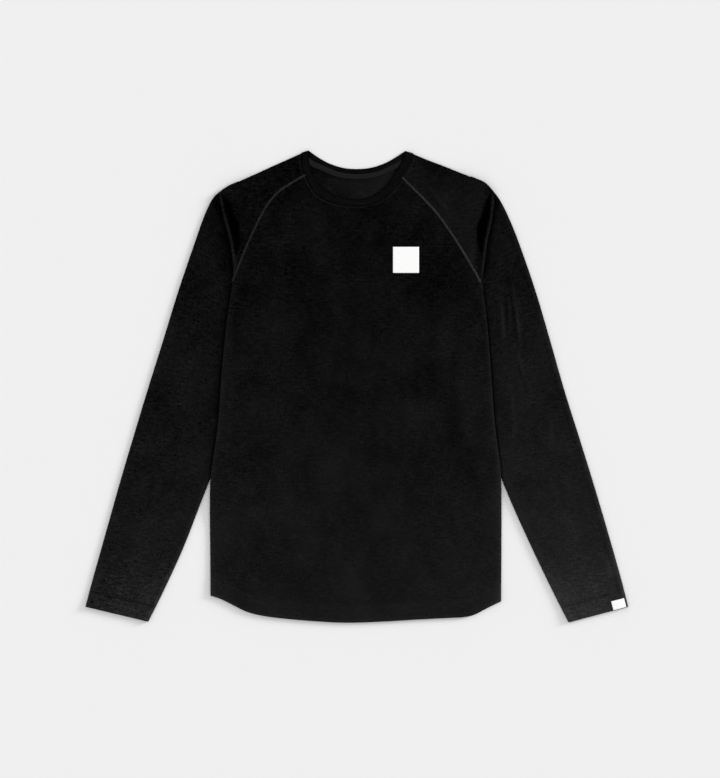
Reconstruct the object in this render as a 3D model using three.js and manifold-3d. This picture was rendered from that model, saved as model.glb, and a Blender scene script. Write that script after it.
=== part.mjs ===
import * as THREE from 'three';
import { mergeVertices } from 'three/addons/utils/BufferGeometryUtils.js';
import Module from 'manifold-3d';

// Long-sleeved raglan base layer top, laid flat with its front up.
// Millimetres. X runs across the chest, Y up to the neck, Z up from the surface that it lies on.

const wasm = await Module();
wasm.setup();

// Cloth and layers

const CLOTH = 1.2;
const LAYER_GAP = 0.3;
const SEAM_INSET = 0.24;
const BAND_CLOTH = 1.6;
const TRIM_CLOTH = 1.0;
const EDGE_ROUND = 1.3;

// Each sleeve swings down under the body, so the body lies this much higher over it.
const TUCK_RISE = 3.3;
const TUCK_RAMP = 36;
const TUCK_LEAD = 8;
const TUCK_END_Y = -200;
const TUCK_FADE = 70;
// The front lifts a little sooner and higher than the back that it lies on.
const FRONT_LEAD = 19;
const FRONT_LIFT = 0.6;

// Pleat between shoulder and underarm: a ridge at its edge and a trough beside it.
const RIDGE_HEIGHT = 3.6;
const RIDGE_CREST = 4.5;
const RIDGE_WIDTH = 5;
const RIDGE_EDGE_DROP = 1.2;
const TROUGH_DEPTH = 2.7;
const TROUGH_PLACE = 14;
const TROUGH_WIDTH = 7;

const HEM_FOLD = 24;
const CUFF_FOLD = 22;
const FOLD_EXTRA = 0.4;
const MOUTH_LIFT = 0.8;
const MOUTH_LENGTH = 60;

const PATCH_SIZE = 39;
const PATCH_CENTRE = { x: 73.4, y: 190.9 };
const TAB_LENGTH = 19.1;
const TAB_WIDTH = 13;
const TAB_FROM_CUFF = 0.6;
const TAB_FROM_EDGE = 3.6;
const TAPE_WIDTH = 7;

// Points where edges of the cut pieces meet

const neckPoint = { left: { x: -83, y: 351 }, right: { x: 84, y: 350 } };
const bandTip = { left: { x: -72, y: 354.4 }, right: { x: 71.3, y: 353.6 } };
const frontNeckJoin = { left: { x: -77.6, y: 319.5 }, right: { x: 69, y: 315.5 } };
const backNeckJoin = { left: { x: -52, y: 328.7 }, right: { x: 52, y: 328.7 } };
const shoulderTip = { left: { x: -208.3, y: 290.8 }, right: { x: 206.2, y: 291.2 } };
const underarm = { left: { x: -186.5, y: 157 }, right: { x: 187.5, y: 157 } };
const hemCorner = { left: { x: -219.5, y: -312 }, right: { x: 216, y: -320.5 } };

// Neck: the seam between band and body, and the open edge of the band, each left to right

const frontNeckSeam = [
  neckPoint.left,
  { x: -82.3, y: 334 },
  frontNeckJoin.left,
  { x: -63, y: 293 },
  { x: -36, y: 277 },
  { x: 0, y: 272.6 },
  { x: 30, y: 278.5 },
  { x: 52, y: 294.5 },
  frontNeckJoin.right,
  { x: 79.5, y: 334 },
  neckPoint.right,
];
const FRONT_JOIN_ROWS = { left: 2, right: 8 };

const backNeckSeam = [
  neckPoint.left,
  { x: -68, y: 335.8 },
  backNeckJoin.left,
  { x: -27.6, y: 318.8 },
  { x: 0, y: 315.7 },
  { x: 27.6, y: 318.8 },
  backNeckJoin.right,
  { x: 68, y: 337.3 },
  neckPoint.right,
];
const BACK_JOIN_ROWS = { left: 2, right: 6 };

const frontNeckEdge = [
  bandTip.left,
  { x: -72.6, y: 340 },
  { x: -66.5, y: 318 },
  { x: -53, y: 302 },
  { x: -30, y: 286.5 },
  { x: 0, y: 281.7 },
  { x: 24, y: 287.6 },
  { x: 43, y: 302 },
  { x: 56, y: 320.5 },
  { x: 67.5, y: 339 },
  bandTip.right,
];

const backNeckEdge = [
  bandTip.left,
  { x: -57, y: 344 },
  { x: -41, y: 335.4 },
  { x: -21, y: 329.1 },
  { x: 0, y: 327.3 },
  { x: 21, y: 329.3 },
  { x: 41, y: 335.7 },
  { x: 57, y: 344.2 },
  bandTip.right,
];

// Raglan seams from neck to underarm

const frontRaglan = {
  left: [
    frontNeckJoin.left,
    { x: -98.4, y: 306.6 },
    { x: -119, y: 292 },
    { x: -137, y: 269 },
    { x: -154, y: 236 },
    { x: -171, y: 197.5 },
    underarm.left,
  ],
  right: [
    frontNeckJoin.right,
    { x: 98.9, y: 284.5 },
    { x: 124.5, y: 254.5 },
    { x: 148, y: 219 },
    { x: 169.5, y: 186.5 },
    { x: 180.5, y: 169.5 },
    underarm.right,
  ],
};
const backRaglan = {
  left: [backNeckJoin.left, { x: -92, y: 291 }, { x: -131, y: 243 }, { x: -161, y: 199 }, underarm.left],
  right: [backNeckJoin.right, { x: 92, y: 291 }, { x: 131, y: 243 }, { x: 161, y: 199 }, underarm.right],
};

// Shoulder fold from neck to shoulder tip, and the pleat's ridge from underarm to shoulder tip

const shoulderFold = {
  left: [
    neckPoint.left,
    { x: -108, y: 339.8 },
    { x: -132, y: 329.3 },
    { x: -156, y: 318.5 },
    { x: -180, y: 307.7 },
    { x: -194, y: 301.2 },
    shoulderTip.left,
  ],
  right: [
    neckPoint.right,
    { x: 106.5, y: 340.8 },
    { x: 130.5, y: 332 },
    { x: 154.5, y: 322.4 },
    { x: 178.5, y: 312.9 },
    { x: 193, y: 305.8 },
    shoulderTip.right,
  ],
};
const ridge = {
  left: [
    underarm.left,
    { x: -185.5, y: 183 },
    { x: -190.8, y: 219 },
    { x: -200, y: 254 },
    shoulderTip.left,
  ],
  right: [
    underarm.right,
    { x: 190.8, y: 187 },
    { x: 195, y: 219 },
    { x: 202.3, y: 254 },
    shoulderTip.right,
  ],
};

// Side seams from underarm to hem corner, and the hem from left to right

const sideSeam = {
  left: [
    underarm.left,
    { x: -195.5, y: 95 },
    { x: -202.5, y: 25 },
    { x: -208.5, y: -56 },
    { x: -218.5, y: -128 },
    { x: -220.5, y: -180 },
    { x: -220, y: -250 },
    hemCorner.left,
  ],
  right: [
    underarm.right,
    { x: 194.6, y: 98 },
    { x: 200.5, y: 25 },
    { x: 206, y: -52 },
    { x: 215, y: -125 },
    { x: 216.5, y: -180 },
    { x: 216.5, y: -250 },
    hemCorner.right,
  ],
};
const hem = [
  hemCorner.left,
  { x: -204, y: -317 },
  { x: -184, y: -326.9 },
  { x: -163.5, y: -336.6 },
  { x: -137, y: -342.8 },
  { x: -96, y: -347.6 },
  { x: -45, y: -351.4 },
  { x: -8, y: -352.4 },
  { x: 39, y: -350.7 },
  { x: 86, y: -348 },
  { x: 133, y: -345.5 },
  { x: 161, y: -344 },
  { x: 177, y: -340 },
  { x: 196, y: -330.1 },
  hemCorner.right,
];

// Sleeve sections from shoulder tip to cuff: the outer fold and the underarm seam.
// Down to the eighth section the underarm seam is hidden under the body.

const sleeveSections = {
  left: [
    { outX: -199.5, outY: 297.5, inX: -202, inY: 288 },
    { outX: -214.5, outY: 285.2, inX: -192, inY: 257 },
    { outX: -227.7, outY: 260, inX: -168, inY: 215 },
    { outX: -241.8, outY: 221, inX: -155, inY: 170 },
    { outX: -267.3, outY: 146, inX: -152, inY: 110 },
    { outX: -290.4, outY: 71, inX: -158, inY: 40 },
    { outX: -314, outY: -4, inX: -179, inY: -35 },
    { outX: -336.6, outY: -79, inX: -207, inY: -104 },
    { outX: -357.8, outY: -151, inX: -232.5, inY: -169 },
    { outX: -378, outY: -223, inX: -260.5, inY: -241 },
    { outX: -396, outY: -287, inX: -290, inY: -305.5 },
    { outX: -407, outY: -328.5, inX: -312.6, inY: -351 },
  ],
  right: [
    { outX: 199.5, outY: 299.5, inX: 199, inY: 290 },
    { outX: 212, outY: 284.2, inX: 192, inY: 257 },
    { outX: 225, outY: 260, inX: 168, inY: 215 },
    { outX: 241.2, outY: 221, inX: 155, inY: 170 },
    { outX: 267.2, outY: 146, inX: 152, inY: 110 },
    { outX: 289.4, outY: 71, inX: 157, inY: 40 },
    { outX: 310.8, outY: -4, inX: 177, inY: -35 },
    { outX: 334.4, outY: -79, inX: 204, inY: -104 },
    { outX: 356.7, outY: -151, inX: 229.5, inY: -168.5 },
    { outX: 377.9, outY: -223, inX: 262.3, inY: -241 },
    { outX: 396, outY: -287, inX: 293, inY: -305 },
    { outX: 406.5, outY: -328.5, inX: 316.8, inY: -352 },
  ],
};

// Curves and patches

const smooth = (t) => THREE.MathUtils.smoothstep(t, 0, 1);
const mix = THREE.MathUtils.lerp;

// A smooth line through table rows, from one row to another, as a function of 0 to 1.
function lineThrough(rows, fromRow = 0, toRow = rows.length - 1) {
  const curve = new THREE.SplineCurve(rows.map((row) => new THREE.Vector2(row.x, row.y)));
  const last = rows.length - 1;
  return (t) => curve.getPoint(mix(fromRow, toRow, t) / last);
}

// The same line at even steps of length.
function evenLine(rows) {
  const curve = new THREE.SplineCurve(rows.map((row) => new THREE.Vector2(row.x, row.y)));
  return (t) => curve.getPointAt(t);
}

// Two lines one after the other, the first taking up the given share.
function joinedLine(first, second, share) {
  return (t) => (t <= share ? first(t / share) : second((t - share) / (1 - share)));
}

// A four-sided patch between its edges: near and far run along u, left and right along v.
function patchBetween(near, far, left, right) {
  const corners = { nearLeft: near(0), nearRight: near(1), farLeft: far(0), farRight: far(1) };
  return (u, v) => {
    const along = near(u).multiplyScalar(1 - v).addScaledVector(far(u), v);
    const across = left(v).multiplyScalar(1 - u).addScaledVector(right(v), u);
    return along.add(across)
      .addScaledVector(corners.nearLeft, -(1 - u) * (1 - v))
      .addScaledVector(corners.nearRight, -u * (1 - v))
      .addScaledVector(corners.farLeft, -(1 - u) * v)
      .addScaledVector(corners.farRight, -u * v);
  };
}

// Even steps from one value to another, both included.
function steps(count, from = 0, to = 1) {
  return Array.from({ length: count + 1 }, (_, index) => mix(from, to, index / count));
}

// Heights of the cloth layers

// How far out the hidden underarm seam of a tucked sleeve lies at a height y.
function tuckedEdge(side, y) {
  const rows = sleeveSections[side];
  let lower = rows.findIndex((row) => row.inY <= y);
  if (lower < 1) {
    lower = lower === 0 ? 1 : rows.length - 1;
  }
  const above = rows[lower - 1];
  const below = rows[lower];
  const t = (y - above.inY) / (below.inY - above.inY);
  return Math.abs(mix(above.inX, below.inX, t));
}

// Rise of the body's layers over the tucked sleeves, from 0 to 1.
function tuckShare(x, y, lead) {
  const side = x < 0 ? 'left' : 'right';
  const start = tuckedEdge(side, y) - TUCK_LEAD - TUCK_RAMP - lead;
  const across = smooth((Math.abs(x) - start) / TUCK_RAMP);
  return across * smooth((y + lead - TUCK_END_Y) / TUCK_FADE);
}
const backRise = (x, y) => TUCK_RISE * tuckShare(x, y, 0);
const frontRise = (x, y) => (TUCK_RISE + FRONT_LIFT) * tuckShare(x, y, FRONT_LEAD);

// Distance from the pleat's ridge and how far down the ridge that is, 0 at the shoulder tip.
function placeByRidge(side, x, y) {
  const line = lineThrough(ridge[side]);
  const samples = steps(48).map((t) => ({ t, away: line(t).distanceTo(new THREE.Vector2(x, y)) }));
  const nearest = samples.reduce((best, sample) => (sample.away < best.away ? sample : best));
  return { away: nearest.away, down: 1 - nearest.t };
}

const bell = (t) => Math.exp(-t * t);

// Rise of the pleat's ridge above the cap, and its trough below.
function ridgeRise(side, x, y) {
  const { away, down } = placeByRidge(side, x, y);
  const strength = smooth(down / 0.18) * smooth((1 - down) / 0.3);
  const crest = bell((away - RIDGE_CREST) / RIDGE_WIDTH) * RIDGE_HEIGHT;
  const edge = bell(away / 1.5) * RIDGE_EDGE_DROP;
  return (crest - edge) * strength;
}

function troughDrop(side, x, y) {
  const { away, down } = placeByRidge(side, x, y);
  const strength = smooth(down / 0.15) * smooth((0.9 - down) / 0.35);
  const place = TROUGH_PLACE * mix(0.7, 1, smooth(down / 0.5));
  return bell((away - place) / TROUGH_WIDTH) * TROUGH_DEPTH * strength;
}

// Solids

// A closed sheet over a patch, with its top and bottom heights given by functions of place.
function sheet({ patch, us, vs, top, bottom, inset = SEAM_INSET }) {
  const columns = us.length;
  const rows = vs.length;
  const plan = vs.map((v) => us.map((u) => patch(u, v)));
  const moved = plan.map((row, j) => row.map((point, i) => {
    const inward = new THREE.Vector2();
    if (i === 0 || i === columns - 1) {
      inward.add(plan[j][i === 0 ? 1 : columns - 2].clone().sub(point).normalize());
    }
    if (j === 0 || j === rows - 1) {
      inward.add(plan[j === 0 ? 1 : rows - 2][i].clone().sub(point).normalize());
    }
    return point.clone().addScaledVector(inward, inset);
  }));
  const positions = [];
  for (const height of [top, bottom]) {
    moved.forEach((row, j) => row.forEach((point, i) => {
      positions.push(point.x, point.y, height(point.x, point.y, us[i], vs[j]));
    }));
  }
  const indices = [];
  const quad = (a, b, c, d) => indices.push(a, b, c, a, c, d);
  const upper = (i, j) => j * columns + i;
  const lower = (i, j) => columns * rows + upper(i, j);
  for (let j = 0; j < rows - 1; j += 1) {
    for (let i = 0; i < columns - 1; i += 1) {
      quad(upper(i, j), upper(i, j + 1), upper(i + 1, j + 1), upper(i + 1, j));
      quad(lower(i, j), lower(i + 1, j), lower(i + 1, j + 1), lower(i, j + 1));
    }
    quad(upper(0, j), lower(0, j), lower(0, j + 1), upper(0, j + 1));
    quad(upper(columns - 1, j), upper(columns - 1, j + 1), lower(columns - 1, j + 1), lower(columns - 1, j));
  }
  for (let i = 0; i < columns - 1; i += 1) {
    quad(upper(i, 0), upper(i + 1, 0), lower(i + 1, 0), lower(i, 0));
    quad(upper(i, rows - 1), lower(i, rows - 1), lower(i + 1, rows - 1), upper(i + 1, rows - 1));
  }
  if (signedVolume(positions, indices) < 0) {
    for (let at = 0; at < indices.length; at += 3) {
      [indices[at + 1], indices[at + 2]] = [indices[at + 2], indices[at + 1]];
    }
  }
  const geometry = new THREE.BufferGeometry();
  geometry.setAttribute('position', new THREE.Float32BufferAttribute(positions, 3));
  geometry.setIndex(indices);
  return geometry;
}

function signedVolume(positions, indices) {
  const corner = (index) => new THREE.Vector3().fromArray(positions, index * 3);
  let volume = 0;
  for (let at = 0; at < indices.length; at += 3) {
    const [a, b, c] = [0, 1, 2].map((step) => corner(indices[at + step]));
    volume += a.dot(b.cross(c)) / 6;
  }
  return volume;
}

function solidOf(geometry) {
  const merged = mergeVertices(geometry, 1e-4);
  return new wasm.Manifold(new wasm.Mesh({
    numProp: 3,
    vertProperties: new Float32Array(merged.attributes.position.array),
    triVerts: new Uint32Array(merged.index.array),
  }));
}

// The largest shell of a joined solid, which closes pinholes left between its layers.
function wholeBody(solid) {
  const shells = solid.decompose();
  return shells.reduce((largest, shell) => (shell.volume() > largest.volume() ? shell : largest));
}

function geometryOf(solid) {
  const mesh = wholeBody(solid).getMesh();
  const geometry = new THREE.BufferGeometry();
  geometry.setAttribute('position', new THREE.BufferAttribute(new Float32Array(mesh.vertProperties), 3));
  geometry.setIndex(new THREE.BufferAttribute(new Uint32Array(mesh.triVerts), 1));
  return geometry;
}

const garment = new THREE.Group();

function addPiece(name, geometry, material) {
  const faceted = geometry.toNonIndexed();
  faceted.computeVertexNormals();
  const mesh = new THREE.Mesh(faceted, material);
  mesh.name = name;
  garment.add(mesh);
}

function cloth(name, color, roughness) {
  return new THREE.MeshStandardMaterial({ name, color, roughness, metalness: 0 });
}
const knit = () => cloth('knit', 0x17181b, 0.9);
const bandKnit = () => cloth('band knit', 0x141518, 0.9);
const whiteTrim = () => cloth('white trim', 0xf2f2f0, 0.7);
const tapeCloth = () => cloth('tape', 0x26272b, 0.8);

// Front and back panels

const RAGLAN_SHARE = 0.3;
const panelColumns = [0, 0.006, ...steps(19, 0.04, 0.96), 0.994, 1];
const PANEL_LENGTH = 640;
const hemStep = 1 - HEM_FOLD / PANEL_LENGTH;
const panelRows = [
  0, 0.01, ...steps(18, 0.04, hemStep - 0.025), hemStep - 0.002, hemStep + 0.002, 0.985, 1,
];

// The front lifts a little off the back along the open hem, and is doubled there.
const hemMouth = (v) => MOUTH_LIFT * smooth(1 + ((v - 1) * PANEL_LENGTH) / MOUTH_LENGTH);
const turnedHem = (v) => (v > hemStep ? FOLD_EXTRA : 0);

const frontPatch = patchBetween(
  lineThrough(frontNeckSeam, FRONT_JOIN_ROWS.left, FRONT_JOIN_ROWS.right),
  evenLine(hem),
  joinedLine(evenLine(frontRaglan.left), evenLine(sideSeam.left), RAGLAN_SHARE),
  joinedLine(evenLine(frontRaglan.right), evenLine(sideSeam.right), RAGLAN_SHARE),
);
const frontBottom = (x, y, u, v) => frontRise(x, y) + CLOTH + LAYER_GAP + hemMouth(v);
const frontTop = (x, y, u, v) => frontBottom(x, y, u, v) + CLOTH + turnedHem(v);

const backPatch = patchBetween(
  lineThrough(backNeckSeam, BACK_JOIN_ROWS.left, BACK_JOIN_ROWS.right),
  evenLine(hem),
  joinedLine(evenLine(backRaglan.left), evenLine(sideSeam.left), RAGLAN_SHARE),
  joinedLine(evenLine(backRaglan.right), evenLine(sideSeam.right), RAGLAN_SHARE),
);
const backBottom = (x, y) => backRise(x, y);
const backTop = (x, y) => backBottom(x, y) + CLOTH;

addPiece('front_panel', sheet({
  patch: frontPatch, us: panelColumns, vs: panelRows, top: frontTop, bottom: frontBottom,
}), knit());
addPiece('back_panel', sheet({
  patch: backPatch, us: panelColumns, vs: panelRows, top: backTop, bottom: backBottom,
}), knit());

// Sleeves

const capColumns = [0, 0.02, ...steps(8, 0.1, 0.9), 0.96, 0.985, 1];
const capRows = [
  0, 0.02, ...steps(6, 0.1, 0.7), 0.76, 0.81, 0.85, 0.88, 0.905, 0.925, 0.945, 0.962, 0.977, 0.99, 1,
];
const lowerCapColumns = [0, 0.02, ...steps(5, 0.12, 0.88), 0.97, 1];
const lowerCapRows = [0, 0.02, ...steps(6, 0.12, 0.78), 0.84, 0.89, 0.93, 0.97, 1];
const SHOULDER_JOIN = 0.985;
// The back cap stops just short of the shoulder fold and the ridge.
const BACK_CAP_TRIM = 0.997;
// Cloth folded under the ridge, as shares of the front cap.
const PLEAT = { fromU: 0.12, toU: 0.975, fromV: 0.86, toV: 0.98 };

function capPatch(side, neckRows, joinRow, raglanRows) {
  const neckRow = side === 'left' ? 0 : neckRows.length - 1;
  return patchBetween(
    lineThrough(neckRows, joinRow, neckRow),
    lineThrough(ridge[side]),
    evenLine(raglanRows),
    evenLine(shoulderFold[side]),
  );
}

// Flat tube of a sleeve: u runs from the underarm seam to the outer fold, v from shoulder to cuff.
function sleevePatch(side) {
  const rows = sleeveSections[side];
  const seam = lineThrough(rows.map((row) => ({ x: row.inX, y: row.inY })));
  const fold = lineThrough(rows.map((row) => ({ x: row.outX, y: row.outY })));
  const across = (u, v) => seam(v).lerp(fold(v), u);
  const lastStep = 0.01;
  return (u, v) => {
    if (v <= 1) {
      return across(u, v);
    }
    const end = across(u, 1);
    return end.clone().addScaledVector(end.clone().sub(across(u, 1 - lastStep)), (v - 1) / lastStep);
  };
}

const SLEEVE_LENGTH = 670;
const cuffStep = 1 - CUFF_FOLD / SLEEVE_LENGTH;
const cuffMouth = (v) => MOUTH_LIFT * smooth(1 + ((v - 1) * SLEEVE_LENGTH) / MOUTH_LENGTH);
const tubeColumns = [0, 0.003, 0.01, ...steps(6, 0.09, 0.91), 0.99, 0.997, 1];
const tubeRows = [0, ...steps(17, 0.035, cuffStep - 0.035), cuffStep - 0.002, cuffStep + 0.002, 0.99, 1];
const SLIT_START = 0.42;
const slitColumns = [0.014, 0.09, 0.5, 0.91, 0.986];
const slitRows = [...steps(8, SLIT_START, 0.98), 1, 1.004];

// Height lost to the rounded folds along both edges of the tube.
const SLEEVE_WIDTH = 120;
function foldRound(u) {
  const fromEdge = Math.min(u, 1 - u) * SLEEVE_WIDTH;
  const part = THREE.MathUtils.clamp(1 - fromEdge / EDGE_ROUND, 0, 1);
  return part * part * (CLOTH - 0.3);
}

const tubeTop = (x, y, u, v) => {
  const turned = v > cuffStep ? FOLD_EXTRA : 0;
  return 2 * CLOTH + LAYER_GAP + cuffMouth(v) + turned - foldRound(u);
};

function makeSleeve(side) {
  const frontCap = capPatch(side, frontNeckSeam, FRONT_JOIN_ROWS[side], frontRaglan[side]);
  const backCap = capPatch(side, backNeckSeam, BACK_JOIN_ROWS[side], backRaglan[side]);
  const backBase = (x, y) => Math.max(backRise(x, y) - troughDrop(side, x, y), 0);
  const frontBase = (x, y) => Math.max(frontRise(x, y) - troughDrop(side, x, y), 0)
    + CLOTH + LAYER_GAP + ridgeRise(side, x, y);
  const front = solidOf(sheet({
    patch: frontCap,
    us: capColumns,
    vs: capRows,
    top: (x, y) => frontBase(x, y) + CLOTH,
    bottom: (x, y, u) => (u >= SHOULDER_JOIN ? backBase(x, y) + CLOTH / 2 : frontBase(x, y)),
  }));
  const back = solidOf(sheet({
    patch: (u, v) => backCap(u * BACK_CAP_TRIM, v * BACK_CAP_TRIM),
    us: lowerCapColumns,
    vs: lowerCapRows,
    top: (x, y) => backBase(x, y) + CLOTH,
    bottom: backBase,
  }));
  const folded = solidOf(sheet({
    patch: (u, v) => frontCap(mix(PLEAT.fromU, PLEAT.toU, u), mix(PLEAT.fromV, PLEAT.toV, v)),
    us: steps(8),
    vs: steps(5),
    top: (x, y) => frontBase(x, y) + CLOTH / 2,
    bottom: () => CLOTH,
  }));
  const tubePatch = sleevePatch(side);
  const tube = solidOf(sheet({
    patch: tubePatch, us: tubeColumns, vs: tubeRows, top: tubeTop, bottom: () => 0, inset: 0,
  }));
  const slit = solidOf(sheet({
    patch: tubePatch,
    us: slitColumns,
    vs: slitRows,
    top: (x, y, u, v) => CLOTH + LAYER_GAP + cuffMouth(v),
    bottom: () => CLOTH,
    inset: 0,
  }));
  return geometryOf(tube.subtract(slit).add(front).add(back).add(folded));
}

addPiece('sleeve_left', makeSleeve('left'), knit());
addPiece('sleeve_right', makeSleeve('right'), knit());

// Neckband

const bandRows = [0, 0.02, ...steps(28, 0.05, 0.95), 0.98, 1];
const BAND_FOLD = 0.02;
const bandFrontBase = BAND_CLOTH + LAYER_GAP;
const frontBand = solidOf(sheet({
  patch: (u, v) => lineThrough(frontNeckEdge)(v).lerp(lineThrough(frontNeckSeam)(v), u),
  us: [0, 0.12, 0.88, 1],
  vs: bandRows,
  top: (x, y, u) => bandFrontBase + BAND_CLOTH - (u === 0 || u === 1 ? BAND_CLOTH / 4 : 0),
  bottom: (x, y, u, v) => (v <= BAND_FOLD || v >= 1 - BAND_FOLD ? CLOTH + LAYER_GAP / 2 : bandFrontBase),
}));
const backBand = solidOf(sheet({
  patch: (u, v) => lineThrough(backNeckEdge)(v).lerp(lineThrough(backNeckSeam)(v), u),
  us: [0, 0.12, 0.88, 1],
  vs: bandRows.map((v) => mix(0.004, 0.996, v)),
  top: (x, y, u) => BAND_CLOTH - (u === 0 || u === 1 ? BAND_CLOTH / 4 : 0),
  bottom: () => 0,
}));
addPiece('neckband', geometryOf(frontBand.add(backBand)), bandKnit());

// Neck tape over the back neck seam

// Its ends are slanted, where the front of the band covers them.
const tapeEnds = [
  { edge: 'lower', from: 0.1195, to: 0.8038 },
  { edge: 'upper', from: 0.0745, to: 0.8895 },
];
const tapeLine = lineThrough(backNeckSeam);
const tapePatch = (u, v) => {
  const [lower, upper] = tapeEnds;
  const t = mix(mix(lower.from, upper.from, u), mix(lower.to, upper.to, u), v);
  const point = tapeLine(t);
  const ahead = tapeLine(t + 0.001).sub(tapeLine(t - 0.001)).normalize();
  const across = new THREE.Vector2(-ahead.y, ahead.x);
  return point.addScaledVector(across, mix(-0.5, 0.5, u) * TAPE_WIDTH);
};
const tapeBase = BAND_CLOTH + LAYER_GAP;
addPiece('neck_tape', sheet({
  patch: tapePatch,
  us: steps(2),
  vs: steps(28),
  top: () => tapeBase + TRIM_CLOTH,
  bottom: () => tapeBase,
  inset: 0,
}), tapeCloth());

// Chest patch on the front, and the tab at the outer edge of one cuff

const patchSide = (t) => mix(-0.5, 0.5, t) * PATCH_SIZE;
const PATCH_MARGIN = 8;
const patchBase = frontRise(PATCH_CENTRE.x + PATCH_SIZE / 2 + PATCH_MARGIN, PATCH_CENTRE.y - PATCH_SIZE / 2)
  + 2 * (CLOTH + LAYER_GAP);
addPiece('chest_patch', sheet({
  patch: (u, v) => new THREE.Vector2(PATCH_CENTRE.x + patchSide(u), PATCH_CENTRE.y + patchSide(v)),
  us: steps(4),
  vs: steps(4),
  top: () => patchBase + TRIM_CLOTH,
  bottom: () => patchBase,
  inset: 0,
}), whiteTrim());

const cuffEnd = sleeveSections.right[sleeveSections.right.length - 1];
const cuffOuter = new THREE.Vector2(cuffEnd.outX, cuffEnd.outY);
const cuffInner = new THREE.Vector2(cuffEnd.inX, cuffEnd.inY);
const alongCuff = cuffInner.clone().sub(cuffOuter).normalize();
const upSleeve = new THREE.Vector2(alongCuff.y, -alongCuff.x);
const tabBase = 2 * CLOTH + LAYER_GAP + FOLD_EXTRA + MOUTH_LIFT + LAYER_GAP;
addPiece('cuff_tab', sheet({
  patch: (u, v) => cuffOuter.clone()
    .addScaledVector(alongCuff, TAB_FROM_EDGE + u * TAB_LENGTH)
    .addScaledVector(upSleeve, TAB_FROM_CUFF + v * TAB_WIDTH),
  us: steps(4),
  vs: steps(3),
  top: () => tabBase + TRIM_CLOTH,
  bottom: () => tabBase,
  inset: 0,
}), whiteTrim());

// The origin is under the middle of the laid garment.
const bounds = new THREE.Box3().setFromObject(garment);
const middle = bounds.getCenter(new THREE.Vector3());
garment.position.set(-middle.x, -middle.y, -bounds.min.z);
garment.updateMatrixWorld(true);

export default garment;
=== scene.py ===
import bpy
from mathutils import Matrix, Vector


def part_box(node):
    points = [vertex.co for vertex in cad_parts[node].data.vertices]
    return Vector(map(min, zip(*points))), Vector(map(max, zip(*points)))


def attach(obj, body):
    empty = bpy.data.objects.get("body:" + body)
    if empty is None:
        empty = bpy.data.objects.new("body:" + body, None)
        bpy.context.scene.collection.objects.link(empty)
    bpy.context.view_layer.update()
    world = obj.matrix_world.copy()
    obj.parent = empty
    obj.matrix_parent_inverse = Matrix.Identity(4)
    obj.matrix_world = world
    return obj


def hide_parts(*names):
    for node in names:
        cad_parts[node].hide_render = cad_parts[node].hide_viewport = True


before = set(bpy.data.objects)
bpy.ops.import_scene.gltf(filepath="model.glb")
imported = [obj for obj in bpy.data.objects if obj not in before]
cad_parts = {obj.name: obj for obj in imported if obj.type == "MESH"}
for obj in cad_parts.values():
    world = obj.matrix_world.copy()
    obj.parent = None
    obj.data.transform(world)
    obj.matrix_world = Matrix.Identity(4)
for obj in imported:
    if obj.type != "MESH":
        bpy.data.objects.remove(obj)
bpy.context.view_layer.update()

import math

import bmesh
import bpy
import numpy as np

# Back panel.
# The real piece is one length of fine black jersey knit, cut between the two raglan seams and the
# hem. It lies on the surface, lifted at both sides by the sleeves tucked under it.

# Sizes are in millimetres here, and meshes are made in metres.
MM = 0.001
PATCH_CENTRE = (73.4, 190.9)


def middle_of(node):
    """The middle of a node's box, in millimetres."""
    low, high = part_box(node)
    return np.array((low + high) / 2) / MM


shift = middle_of("chest_patch")[:2] - PATCH_CENTRE

CLOTH = 1.0
LAYER_STEP = 1.5
TUCK_RISE = 3.3
TUCK_RAMP = 36
TUCK_LEAD = 8
TUCK_END_Y = -200
TUCK_FADE = 70

NECK_POINT = {"left": (-83, 351), "right": (84, 350)}
BACK_JOIN = {"left": (-52, 328.7), "right": (52, 328.7)}
UNDERARM = {"left": (-186.5, 157), "right": (187.5, 157)}
HEM_CORNER = {"left": (-219.5, -312), "right": (216, -320.5)}
back_neck_seam = [
    NECK_POINT["left"], (-68, 335.8), BACK_JOIN["left"], (-27.6, 318.8), (0, 315.7),
    (27.6, 318.8), BACK_JOIN["right"], (68, 337.3), NECK_POINT["right"],
]
BACK_ROWS = {"left": 2, "right": 6}
SIDES = (("left", -1), ("right", 1))
back_raglan = {
    side: [BACK_JOIN[side], (92 * sign, 291), (131 * sign, 243), (161 * sign, 199), UNDERARM[side]]
    for side, sign in SIDES
}
side_seam = {
    "left": [
        UNDERARM["left"], (-195.5, 95), (-202.5, 25), (-208.5, -56), (-218.5, -128),
        (-220.5, -180), (-220, -250), HEM_CORNER["left"],
    ],
    "right": [
        UNDERARM["right"], (194.6, 98), (200.5, 25), (206, -52), (215, -125),
        (216.5, -180), (216.5, -250), HEM_CORNER["right"],
    ],
}
hem = [
    HEM_CORNER["left"], (-204, -317), (-184, -326.9), (-163.5, -336.6), (-137, -342.8), (-96, -347.6),
    (-45, -351.4), (-8, -352.4), (39, -350.7), (86, -348), (133, -345.5), (161, -344), (177, -340),
    (196, -330.1), HEM_CORNER["right"],
]

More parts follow.
